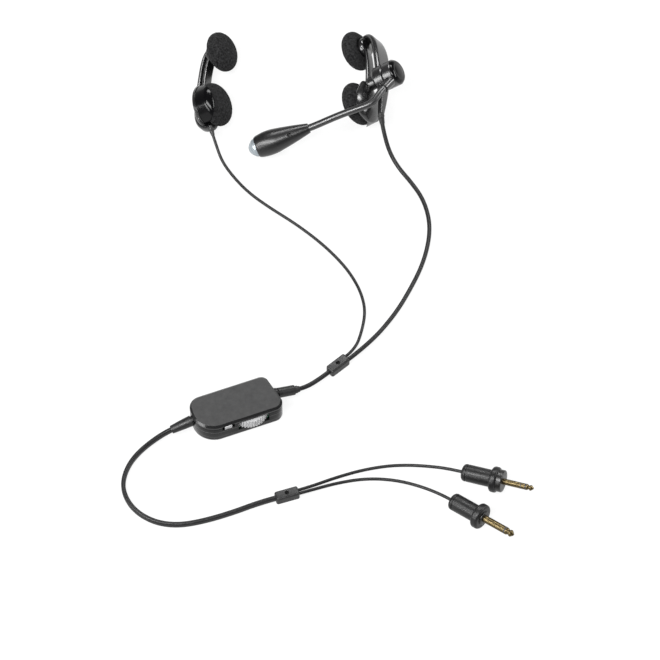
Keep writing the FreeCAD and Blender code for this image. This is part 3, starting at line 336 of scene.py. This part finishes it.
def lay_cord(name, route, wide, tall):
    line = bpy.data.curves.new(name, "CURVE")
    line.dimensions = "3D"
    line.twist_mode = "Z_UP"
    line.resolution_u = 12
    line.render_resolution_u = 12
    spline = line.splines.new("NURBS")
    spline.points.add(len(route) - 1)
    for point, place in zip(spline.points, route):
        point.co = (*place, 1)
    spline.order_u = 3
    spline.use_endpoint_u = True
    line.bevel_depth = wide / 2
    line.extrude = (tall - wide) / 2
    line.bevel_resolution = 6
    line.use_fill_caps = True
    line.materials.append(cord_jacket)
    piece = new_piece("jacket_" + name, line)
    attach(piece, "headset")
    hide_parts(name)


lay_cord("left_ear_cord", left_ear_route, wide=0.0027, tall=0.0027)
lay_cord("right_ear_cord", right_ear_route, wide=0.0038, tall=0.0038)
lay_cord("trunk_cord", trunk_route, wide=0.0040, tall=0.0040)
lay_cord("main_cord", main_route, wide=0.0038, tall=0.0060)
lay_cord("mic_plug_cord", mic_plug_route, wide=0.0028, tall=0.0028)
lay_cord("phone_plug_cord", phone_plug_route, wide=0.0028, tall=0.0028)


# Foam pads.
# Each pad is a bun of open-celled black foam, moulded with a hole in its back and stretched
# over the speaker cup below or the plain core above, whose rim holds it by that hole.

unit_pitch = math.radians(-1.1)


# An ear unit's own axes: X out through the crowns of its pads, Y from the lower pad to the upper.
def unit_place(at, height, turn, roll):
    place = Matrix.Translation((at[0], at[1], height))
    place = place @ Matrix.Rotation(math.radians(turn), 4, "Z") @ Matrix.Rotation(unit_pitch, 4, "X")
    return place @ Matrix.Rotation(math.radians(roll), 4, "Y")


left_unit = unit_place((-0.0228, 0.3158), height=0.01905, turn=-4.5, roll=-37.0)
right_unit = unit_place((0.1054, 0.3160), height=0.0201, turn=1.0, roll=143.0)
pad_spacing = 0.060
weld = 0.000001


def turned_shape(profile, steps):
    # The profile is pairs of place along X and distance from X, and is spun about X.
    shape = bmesh.new()
    rim = [shape.verts.new((along, away, 0)) for along, away in profile]
    lines = [shape.edges.new(pair) for pair in zip(rim, rim[1:])]
    bmesh.ops.spin(
        shape,
        geom=rim + lines,
        cent=(0, 0, 0),
        axis=(1, 0, 0),
        dvec=(0, 0, 0),
        angle=2 * math.pi,
        steps=steps,
        use_merge=True,
        use_duplicate=False,
    )
    bmesh.ops.remove_doubles(shape, verts=shape.verts, dist=weld)
    bmesh.ops.recalc_face_normals(shape, faces=shape.faces)
    return shape


def shape_to_piece(shape, name, place, material):
    bmesh.ops.transform(shape, matrix=place, verts=shape.verts)
    mesh = bpy.data.meshes.new(name)
    shape.to_mesh(mesh)
    shape.free()
    mesh.shade_smooth()
    mesh.materials.append(material)
    return new_piece(name, mesh)


foam, foam_shader = new_material("open_cell_foam")
foam_nodes = foam.node_tree.nodes
foam_links = foam.node_tree.links
foam_place = foam_nodes.new("ShaderNodeTexCoord")
foam_cells = foam_nodes.new("ShaderNodeTexVoronoi")
foam_cells.inputs["Scale"].default_value = 1500
foam_mottle = foam_nodes.new("ShaderNodeTexNoise")
foam_mottle.inputs["Scale"].default_value = 620
foam_mottle.inputs["Detail"].default_value = 4
foam_mottle.inputs["Roughness"].default_value = 0.7
foam_colour = foam_nodes.new("ShaderNodeValToRGB")
foam_colour.color_ramp.elements[0].position = 0.36
foam_colour.color_ramp.elements[0].color = (0.001, 0.001, 0.0011, 1)
foam_colour.color_ramp.elements[1].position = 0.70
foam_colour.color_ramp.elements[1].color = (0.030, 0.030, 0.031, 1)
foam_height = foam_nodes.new("ShaderNodeMath")
foam_height.operation = "ADD"
foam_bump = foam_nodes.new("ShaderNodeBump")
foam_bump.inputs["Distance"].default_value = 0.0004
foam_bump.inputs["Strength"].default_value = 0.9
foam_links.new(foam_place.outputs["Object"], foam_cells.inputs["Vector"])
foam_links.new(foam_place.outputs["Object"], foam_mottle.inputs["Vector"])
foam_links.new(foam_mottle.outputs["Fac"], foam_colour.inputs["Fac"])
foam_links.new(foam_mottle.outputs["Fac"], foam_height.inputs[0])
foam_links.new(foam_cells.outputs["Distance"], foam_height.inputs[1])
foam_links.new(foam_height.outputs["Value"], foam_bump.inputs["Height"])
foam_links.new(foam_colour.outputs["Color"], foam_shader.inputs["Base Color"])
foam_links.new(foam_bump.outputs["Normal"], foam_shader.inputs["Normal"])
foam_shader.inputs["Roughness"].default_value = 1.0
foam_shader.inputs["Specular IOR Level"].default_value = 0.08
foam_shader.inputs["Sheen Weight"].default_value = 0.02
foam_shader.inputs["Sheen Roughness"].default_value = 0.6

foam_lumps = bpy.data.textures.new("foam_lumps", "CLOUDS")
foam_lumps.noise_scale = 0.0016
foam_lumps.noise_depth = 2


def foam_pad(name, node, radius, core, hole, middle_y, unit):
    # From the middle of the crown, over the rim and into the hole to the middle of its seat.
    profile = [
        (0.0099, 0.0),
        (0.0097, 0.30 * radius),
        (0.0088, 0.58 * radius),
        (0.0066, 0.82 * radius),
        (0.0034, 0.97 * radius),
        (0.0000, 1.012 * radius),
        (-0.0032, 0.96 * radius),
        (-0.0058, 0.80 * radius),
        (-0.0070, 0.70 * radius),
        (-0.0072, hole + 0.0008),
        (-0.0062, hole - 0.0001),
        (-0.0046, hole),
        (-0.0045, core - 0.0004),
        (-0.0042, core),
        (0.0022, core),
        (0.0025, core - 0.0004),
        (0.0025, 0.5 * core),
        (0.0025, 0.0),
    ]
    place = unit @ Matrix.Translation((0, middle_y, 0))
    piece = shape_to_piece(turned_shape(profile, steps=44), name, place, foam)
    fullness = piece.modifiers.new("fullness", "SUBSURF")
    fullness.levels = 2
    fullness.render_levels = 2
    lumps = piece.modifiers.new("lumps", "DISPLACE")
    lumps.texture = foam_lumps
    lumps.texture_coords = "LOCAL"
    lumps.strength = 0.00045
    lumps.mid_level = 0.5
    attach(piece, "headset")
    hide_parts(node)


for side, unit in (("left", left_unit), ("right", right_unit)):
    foam_pad(
        side + "_lower_bun",
        side + "_lower_foam",
        radius=0.0202,
        core=0.0165,
        hole=0.0125,
        middle_y=0.0,
        unit=unit,
    )
    foam_pad(
        side + "_upper_bun",
        side + "_upper_foam",
        radius=0.0186,
        core=0.0143,
        hole=0.0087,
        middle_y=pad_spacing,
        unit=unit,
    )


# Ear frames.
# One glossy black moulding each: the shell behind the lower pad, the arm, and the hub that the upper
# pad's core clips into. The left one gets a thin lip that rises from the shell and curls over its foam,
# in a darker black that is painted shade.

seam_angle = math.radians(30)


def eased_skin():
    # Smooth shading over the facets, with a hard line only where they meet at a steep angle.
    group = bpy.data.node_groups.new("eased_skin", "GeometryNodeTree")
    group.interface.new_socket("Geometry", in_out="INPUT", socket_type="NodeSocketGeometry")
    group.interface.new_socket("Geometry", in_out="OUTPUT", socket_type="NodeSocketGeometry")
    nodes = group.nodes
    links = group.links
    entry = nodes.new("NodeGroupInput")
    leave = nodes.new("NodeGroupOutput")
    drop = nodes.new("GeometryNodeRemoveAttribute")
    drop.inputs["Name"].default_value = "custom_normal"
    merge = nodes.new("GeometryNodeMergeByDistance")
    merge.inputs["Distance"].default_value = weld
    soft = nodes.new("GeometryNodeSetShadeSmooth")
    soft.domain = "FACE"
    angle = nodes.new("GeometryNodeInputMeshEdgeAngle")
    steep = nodes.new("FunctionNodeCompare")
    steep.data_type = "FLOAT"
    steep.operation = "GREATER_THAN"
    steep.inputs[1].default_value = seam_angle
    hard = nodes.new("GeometryNodeSetShadeSmooth")
    hard.domain = "EDGE"
    hard.inputs["Shade Smooth"].default_value = False
    links.new(entry.outputs[0], drop.inputs["Geometry"])
    links.new(drop.outputs["Geometry"], merge.inputs["Geometry"])
    links.new(merge.outputs["Geometry"], soft.inputs["Geometry"])
    links.new(soft.outputs["Geometry"], hard.inputs["Geometry"])
    links.new(angle.outputs["Unsigned Angle"], steep.inputs[0])
    links.new(steep.outputs["Result"], hard.inputs["Selection"])
    links.new(hard.outputs["Geometry"], leave.inputs[0])
    return group


skin_group = eased_skin()


def ease_seams(piece):
    skin = piece.modifiers.new("skin", "NODES")
    skin.node_group = skin_group


def finish_node(name, material):
    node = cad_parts[name]
    node.data.materials.clear()
    node.data.materials.append(material)
    ease_seams(node)


def merged_copy(name, place):
    # A node's own mesh with its loose triangles merged, in the axes of the place given.
    shape = bmesh.new()
    shape.from_mesh(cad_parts[name].data)
    bmesh.ops.remove_doubles(shape, verts=shape.verts, dist=weld)
    bmesh.ops.transform(shape, matrix=place.inverted(), verts=shape.verts)
    return shape


polished_black = moulded(
    "polished_black",
    colour=(0.003, 0.003, 0.0033),
    worn=(0.009, 0.009, 0.0095),
    grain=700,
    smudge=45,
    rough=(0.22, 0.30),
    drift=0.5,
    relief=0.000003,
    specular=0.9,
)

# A darker, duller copy of the polished black, as painted shade: it goes on the lip over the left pad
# and on the pivot cap.
shade_painted_black = moulded(
    "shade_painted_black",
    colour=(0.001, 0.001, 0.0012),
    worn=(0.004, 0.004, 0.0045),
    grain=700,
    smudge=45,
    rough=(0.14, 0.20),
    drift=0.5,
    relief=0.000002,
    specular=0.22,
)

# Where the lip starts and ends round the pad, and the section that it is drawn to.
lip_from = math.radians(58)
lip_to = math.radians(174)
lip_base = -0.0076
lip_bend = 0.0035
lip_radius = 0.0212
lip_curl = 0.0067
lip_root = 0.0008
lip_reach = 0.0205
lip_fullness = 0.62
lip_most_bend = 1.5
lip_wall = 0.0009
lip_rounding = 0.0003
lip_rim_angle = 0.9
shell_edge = -0.0069
shell_cut_radius = 0.0190


def lip_mesh():
    # A strip round the pad's rim, drawn out into a petal that curls over the foam.
    shape = bmesh.new()
    rows = 16
    start = [shape.verts.new((step / rows, 1, 0)) for step in range(rows + 1)]
    lines = [shape.edges.new(pair) for pair in zip(start, start[1:])]
    bmesh.ops.rotate(shape, verts=start, cent=(0, 0, 0), matrix=Matrix.Rotation(lip_from, 3, "X"))
    bmesh.ops.spin(
        shape,
        geom=start + lines,
        cent=(0, 0, 0),
        axis=(1, 0, 0),
        dvec=(0, 0, 0),
        angle=lip_to - lip_from,
        steps=56,
        use_merge=False,
        use_duplicate=False,
    )
    for vertex in shape.verts:
        turn = math.atan2(vertex.co.z, vertex.co.y) % (2 * math.pi)
        share = max(0.0, min(1.0, (turn - lip_from) / (lip_to - lip_from)))
        reach = lip_root + (lip_reach - lip_root) * math.sin(math.pi * share) ** lip_fullness
        walked = reach * vertex.co.x
        bend = min(max(0.0, walked - (lip_bend - lip_base)) / lip_curl, lip_most_bend)
        along = min(lip_base + walked, lip_bend) + lip_curl * math.sin(bend)
        away = lip_radius - lip_curl * (1 - math.cos(bend))
        vertex.co = (along, away * math.cos(turn), away * math.sin(turn))
    bmesh.ops.recalc_face_normals(shape, faces=shape.faces)
    bmesh.ops.solidify(shape, geom=shape.faces, thickness=lip_wall)
    bmesh.ops.recalc_face_normals(shape, faces=shape.faces)
    rim = [edge for edge in shape.edges if edge.is_manifold and edge.calc_face_angle() > lip_rim_angle]
    bmesh.ops.bevel(
        shape,
        geom=rim,
        offset=lip_rounding,
        segments=2,
        profile=0.5,
        affect="EDGES",
        material=-1,
        clamp_overlap=True,
    )
    mesh = bpy.data.meshes.new("lip")
    shape.to_mesh(mesh)
    shape.free()
    return mesh


def nearest_to_axis(face):
    return min(math.hypot(vertex.co.y, vertex.co.z) for vertex in face.verts)


left_shell = merged_copy("left_ear_frame", left_unit)
rim_faces = [face for face in left_shell.faces if nearest_to_axis(face) > shell_cut_radius]
rim_edges = list(dict.fromkeys(edge for face in rim_faces for edge in face.edges))
rim_verts = list(dict.fromkeys(vertex for face in rim_faces for vertex in face.verts))
bmesh.ops.bisect_plane(
    left_shell,
    geom=rim_verts + rim_edges + rim_faces,
    plane_co=(shell_edge, 0, 0),
    plane_no=(1, 0, 0),
    clear_outer=True,
)
open_edges = [edge for edge in left_shell.edges if edge.is_boundary]
bmesh.ops.triangle_fill(left_shell, edges=open_edges, use_beauty=True)
left_shell.from_mesh(lip_mesh())
bmesh.ops.recalc_face_normals(left_shell, faces=left_shell.faces)
# The lip's faces take the darker copy of the black, painted shade in the hollow between the bow and the
# pad.
for face in left_shell.faces:
    face.material_index = 1 if face.calc_center_median().x > shell_edge else 0
left_ear_shell = shape_to_piece(left_shell, "left_ear_shell", left_unit, polished_black)
left_ear_shell.data.materials.append(shade_painted_black)
ease_seams(left_ear_shell)
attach(left_ear_shell, "headset")
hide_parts("left_ear_frame")

finish_node("right_ear_frame", polished_black)
finish_node("left_upper_pad_core", polished_black)
finish_node("right_upper_pad_core", polished_black)


# Outer bow and ear reliefs.
# On the left unit a thin glossy strip clips over the hub and runs round the back to the foot of
# the leaf. Each unit's cord comes out at the foot through a short relief of soft black rubber.

rubber = moulded(
    "moulded_rubber",
    colour=(0.006, 0.006, 0.0063),
    worn=(0.02, 0.02, 0.02),
    grain=1800,
    smudge=120,
    rough=(0.36, 0.5),
    drift=0.3,
    relief=0.00001,
    specular=0.4,
)

finish_node("left_outer_bow", polished_black)
finish_node("left_cord_relief", rubber)
finish_node("right_cord_relief", rubber)


# Boom housing and pivot.
# The glossy black fairing on the right unit carries the drum and its post. The boom's collar turns
# on the post between two washers, and a pressed-in cap hides the plated steel screw.

steel = moulded(
    "zinc_plated_steel",
    colour=(0.50, 0.50, 0.51),
    worn=(0.36, 0.36, 0.38),
    grain=3000,
    smudge=220,
    rough=(0.25, 0.42),
    drift=0.6,
    relief=0.000006,
    metallic=1.0,
)
inner_black = moulded(
    "inner_black",
    colour=(0.015, 0.015, 0.0155),
    worn=(0.03, 0.03, 0.03),
    grain=2200,
    smudge=100,
    rough=(0.45, 0.6),
    drift=0.3,
    relief=0.00001,
)

finish_node("boom_housing", polished_black)
finish_node("boom_collar", polished_black)
# The pivot cap takes the darker copy of the black, painted shade on the drum's dark side.
finish_node("boom_pivot_cap", shade_painted_black)
finish_node("boom_friction_washer", inner_black)
finish_node("boom_retaining_washer", steel)
finish_node("boom_pivot_screw", steel)


# Boom tube and microphone.
# A bent tube in a smooth black sleeve ends in a flared plastic shell with a round port, behind
# which the capsule sits in a rubber carrier. A silver-lacquered dome closes the wide end.

boom_sleeve = moulded(
    "boom_sleeve",
    colour=(0.004, 0.004, 0.0045),
    worn=(0.012, 0.012, 0.012),
    grain=1500,
    smudge=80,
    rough=(0.30, 0.38),
    drift=0.4,
    relief=0.000006,
    specular=0.9,
)
shell_black = moulded(
    "shell_black",
    colour=(0.003, 0.003, 0.0033),
    worn=(0.010, 0.010, 0.010),
    grain=2600,
    smudge=60,
    rough=(0.30, 0.36),
    drift=0.5,
    relief=0.000004,
    specular=0.55,
)
cap_silver = moulded(
    "cap_silver",
    colour=(0.25, 0.285, 0.31),
    worn=(0.31, 0.34, 0.36),
    grain=2400,
    smudge=130,
    rough=(0.30, 0.42),
    drift=0.8,
    relief=0.000003,
    metallic=0.5,
)
cap_shader = cap_silver.node_tree.nodes["Principled BSDF"]
cap_shader.inputs["Coat Weight"].default_value = 0.15
cap_shader.inputs["Coat Roughness"].default_value = 0.12

finish_node("boom_tube", boom_sleeve)
finish_node("mic_shell", shell_black)
finish_node("mic_carrier", rubber)
finish_node("mic_capsule", inner_black)

# The microphone's own axes, with X along the shell towards its dome.
mic_place = Matrix(
    (
        (-0.933245, 0.343254, -0.105972, 0.061191836),
        (-0.224699, -0.787917, -0.573321, 0.285712974),
        (-0.280292, -0.511237, 0.812449, 0.025025883),
        (0, 0, 0, 1),
    )
)
dome_from = 0.0497
dome_stretch = 2.4
end_cap = merged_copy("mic_end_cap", mic_place)
for vertex in end_cap.verts:
    if vertex.co.x > dome_from:
        vertex.co.x = dome_from + (vertex.co.x - dome_from) * dome_stretch
end_dome = shape_to_piece(end_cap, "end_dome", mic_place, cap_silver)
ease_seams(end_dome)
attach(end_dome, "boom")
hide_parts("mic_end_cap")


# Speakers.
# Behind each lower pad a slotted black plastic cup holds the driver, a pressed steel basket
# with its magnet, and the foam grips the cup's rim.

speaker_metal = moulded(
    "speaker_metal",
    colour=(0.30, 0.30, 0.31),
    worn=(0.20, 0.20, 0.21),
    grain=3000,
    smudge=260,
    rough=(0.34, 0.5),
    drift=0.6,
    relief=0.000005,
    metallic=1.0,
)

for side in ("left", "right"):
    finish_node(side + "_driver_cup", inner_black)
    finish_node(side + "_driver", speaker_metal)


# Module case.
# A deep base and a shallow lid of black plastic, screwed together from below. A sprayed matte coat
# on the lid stops at its polished bevel. Two parting lines run round the glossy base, each painted
# lighter grey as a painted highlight.

case_height = 0.022
spray_from = case_height - 0.00025
spray_full = case_height - 0.00015


def height_mask(nodes, links, low, high):
    place = nodes.new("ShaderNodeTexCoord")
    parts = nodes.new("ShaderNodeSeparateXYZ")
    mask = nodes.new("ShaderNodeMapRange")
    mask.inputs["From Min"].default_value = low
    mask.inputs["From Max"].default_value = high
    links.new(place.outputs["Object"], parts.inputs["Vector"])
    links.new(parts.outputs["Z"], mask.inputs["Value"])
    return mask.outputs["Result"]


lid, lid_shader = new_material("sprayed_lid")
lid_nodes = lid.node_tree.nodes
lid_links = lid.node_tree.links
lid_mask = height_mask(lid_nodes, lid_links, spray_from, spray_full)
spray = surface_finish(
    lid_nodes,
    colour=(0.011, 0.011, 0.0115),
    worn=(0.046, 0.046, 0.046),
    grain=1100,
    smudge=210,
    rough=(0.56, 0.66),
    drift=1.0,
)
gloss = surface_finish(
    lid_nodes,
    colour=(0.007, 0.007, 0.0075),
    worn=(0.02, 0.02, 0.02),
    grain=800,
    smudge=60,
    rough=(0.10, 0.18),
    drift=0.4,
)
lid_colour = lid_nodes.new("ShaderNodeMix")
lid_colour.data_type = "RGBA"
lid_rough = lid_nodes.new("ShaderNodeMix")
lid_height = lid_nodes.new("ShaderNodeMath")
lid_height.operation = "MULTIPLY"
lid_bump = lid_nodes.new("ShaderNodeBump")
lid_bump.inputs["Distance"].default_value = 0.00002
lid_links.new(lid_mask, lid_colour.inputs["Factor"])
lid_links.new(gloss.outputs["Colour"], lid_colour.inputs[6])
lid_links.new(spray.outputs["Colour"], lid_colour.inputs[7])
lid_links.new(lid_mask, lid_rough.inputs["Factor"])
lid_links.new(gloss.outputs["Roughness"], lid_rough.inputs[2])
lid_links.new(spray.outputs["Roughness"], lid_rough.inputs[3])
lid_links.new(lid_mask, lid_height.inputs[0])
lid_links.new(spray.outputs["Height"], lid_height.inputs[1])
lid_links.new(lid_height.outputs["Value"], lid_bump.inputs["Height"])
lid_links.new(lid_colour.outputs[2], lid_shader.inputs["Base Color"])
lid_links.new(lid_rough.outputs[0], lid_shader.inputs["Roughness"])
lid_links.new(lid_bump.outputs["Normal"], lid_shader.inputs["Normal"])
lid_shader.inputs["Specular IOR Level"].default_value = 0.24

base_black = moulded(
    "base_black",
    colour=(0.0015, 0.0015, 0.0017),
    worn=(0.006, 0.006, 0.0065),
    grain=900,
    smudge=55,
    rough=(0.12, 0.22),
    drift=0.5,
    relief=0.000004,
    specular=0.12,
)
line_outside = 0.0005
line_inside = 0.0002
base_shader = base_black.node_tree.nodes["Principled BSDF"]
base_nodes = base_black.node_tree.nodes
base_links = base_black.node_tree.links
plain_colour = base_shader.inputs["Base Color"].links[0].from_socket
# Each parting line is painted a lighter grey: a painted highlight along the line.
for line_at, line_glint_grey in ((0.0128, 0.05), (0.0062, 0.03)):
    rise = height_mask(base_nodes, base_links, line_at - line_outside, line_at - line_inside)
    fall = height_mask(base_nodes, base_links, line_at + line_outside, line_at + line_inside)
    both = base_nodes.new("ShaderNodeMath")
    both.operation = "MULTIPLY"
    parting_glint = base_nodes.new("ShaderNodeMix")
    parting_glint.data_type = "RGBA"
    parting_glint.inputs[7].default_value = (line_glint_grey, line_glint_grey, line_glint_grey, 1)
    base_links.new(rise, both.inputs[0])
    base_links.new(fall, both.inputs[1])
    base_links.new(both.outputs["Value"], parting_glint.inputs["Factor"])
    base_links.new(plain_colour, parting_glint.inputs[6])
    plain_colour = parting_glint.outputs[2]
base_links.new(plain_colour, base_shader.inputs["Base Color"])

finish_node("module_cover", lid)
finish_node("module_base", base_black)
finish_node("module_screws", steel)


# Wheel and slider.
# The wheel's toothed rim and the ribbed slider are moulded in light grey plastic with
# a satin silver lacquer, and both stand a little proud of the base's front.

silver = moulded(
    "silver_lacquer",
    colour=(0.42, 0.42, 0.425),
    worn=(0.28, 0.28, 0.285),
    grain=2600,
    smudge=300,
    rough=(0.32, 0.46),
    drift=0.7,
    relief=0.000008,
    metallic=0.1,
)

finish_node("volume_wheel", silver)
finish_node("mute_slider", silver)


# Inside the module.
# A board of green glass fibre rests on ribs in the base. It carries the wheel's potentiometer
# and, under the slider, the slide switch.

board_green = moulded(
    "board_green",
    colour=(0.02, 0.12, 0.06),
    worn=(0.05, 0.22, 0.11),
    grain=900,
    smudge=400,
    rough=(0.3, 0.5),
    drift=0.9,
    relief=0.00002,
)

finish_node("circuit_board", board_green)
finish_node("wheel_potentiometer", inner_black)
finish_node("slide_switch", inner_black)


# Cord reliefs of the module.
# Flexible black rubber sleeves, each held by a flange inside the case: a ringed one for the trunk
# and a smooth tapered one for the flat cord.

finish_node("trunk_relief", rubber)
finish_node("main_relief", rubber)


# Y blocks.
# The same small block of black rubber is moulded over both splits of the cord, with a blind
# round hole on top.

finish_node("upper_y_block", rubber)
finish_node("lower_y_block", rubber)


# Plugs.
# A matte dark grey grip with a finger flange and a black collar. The pins are brass tube and rod
# with thin gold plating that is rubbed brown, parted by dark insulating rings.

grip_grey = moulded(
    "grip_grey",
    colour=(0.0025, 0.0025, 0.0027),
    worn=(0.010, 0.010, 0.010),
    grain=2200,
    smudge=140,
    rough=(0.36, 0.46),
    drift=0.6,
    relief=0.00002,
    specular=0.32,
)
collar_black = moulded(
    "collar_black",
    colour=(0.002, 0.002, 0.002),
    worn=(0.008, 0.0075, 0.006),
    grain=1200,
    smudge=110,
    rough=(0.3, 0.42),
    drift=0.5,
    relief=0.000008,
)
gold = moulded(
    "rubbed_gold",
    colour=(0.20, 0.155, 0.075),
    worn=(0.03, 0.022, 0.012),
    grain=2500,
    smudge=520,
    rough=(0.28, 0.46),
    drift=1.2,
    relief=0.000006,
    metallic=1.0,
)

for plug in ("mic_plug", "phone_plug"):
    finish_node(plug + "_grip", grip_grey)
    finish_node(plug + "_collar", collar_black)
    finish_node(plug + "_sleeve", gold)
    finish_node(plug + "_tip", gold)
finish_node("mic_plug_ring", gold)
finish_node("mic_plug_insulators", inner_black)
finish_node("phone_plug_insulator", inner_black)
